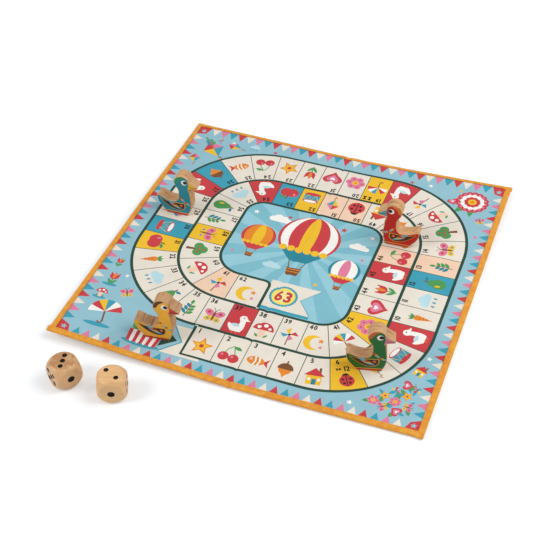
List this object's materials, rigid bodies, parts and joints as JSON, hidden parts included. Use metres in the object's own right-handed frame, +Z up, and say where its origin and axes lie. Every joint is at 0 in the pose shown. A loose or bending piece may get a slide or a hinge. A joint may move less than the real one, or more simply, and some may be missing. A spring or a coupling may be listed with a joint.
{
  "type": "game of the goose set",
  "caption": "Square soft cloth game board with a bound edge and a middle fold, printed with a numbered spiral track, with flat wooden goose pawns and wooden dice.",
  "frame": {"origin": "on the table under the middle of the board, at the middle of its fold", "axes": "+X to the right-hand edge of the board, +Y to its far edge along the fold, +Z up"},
  "size_m": [0.42, 0.4888, 0.0648],
  "materials": {
    "printed_cloth": "matt printed cotton canvas",
    "binding_tape": "matt woven cotton bias binding, stitched",
    "pawn_teal": "satin print on the flat sides, bare lacquered wood round the edge",
    "pawn_yellow": "satin print on the flat sides, bare lacquered wood round the edge",
    "pawn_red": "satin print on the flat sides, bare lacquered wood round the edge",
    "pawn_green": "satin print on the flat sides, bare lacquered wood round the edge",
    "die_wood": "satin lacquered beech with black drilled pips"
  },
  "bodies": {
    "board_right": {"mat_right_half": "printed_cloth", "binding_right": "binding_tape", "binding_far_right": "binding_tape", "binding_near_right": "binding_tape"},
    "board_left": {"mat_left_half": "printed_cloth", "binding_left": "binding_tape", "binding_far_left": "binding_tape", "binding_near_left": "binding_tape"},
    "pawn_teal": {"goose_pawn_teal": "pawn_teal"},
    "pawn_yellow": {"goose_pawn_yellow": "pawn_yellow"},
    "pawn_red": {"goose_pawn_red": "pawn_red"},
    "pawn_green": {"goose_pawn_green": "pawn_green"},
    "die_left": {"die_left": "die_wood"},
    "die_right": {"die_right": "die_wood"}
  },
  "joints": [
    {"name": "board_fold", "type": "hinge", "parent": "board_right", "child": "board_left", "pos_m": [0, 0, 0.0032], "axis": [0, 1, 0], "range_deg": [-1.7, 88.3]},
    {"name": "pawn_teal_lift", "type": "slide", "parent": "board_left", "child": "pawn_teal", "axis": [0.0297, 0, 0.9996], "range_m": [0, 0.1]},
    {"name": "pawn_yellow_lift", "type": "slide", "parent": "board_left", "child": "pawn_yellow", "axis": [0.0297, 0, 0.9996], "range_m": [0, 0.1]},
    {"name": "pawn_red_lift", "type": "slide", "parent": "board_right", "child": "pawn_red", "axis": [0, 0, 1], "range_m": [0, 0.1]},
    {"name": "pawn_green_lift", "type": "slide", "parent": "board_right", "child": "pawn_green", "axis": [0, 0, 1], "range_m": [0, 0.1]},
    {"name": "die_left_lift", "type": "slide", "parent": "board_right", "child": "die_left", "axis": [0, 0, 1], "range_m": [0, 0.1]},
    {"name": "die_right_lift", "type": "slide", "parent": "board_right", "child": "die_right", "axis": [0, 0, 1], "range_m": [0, 0.1]}
  ]
}
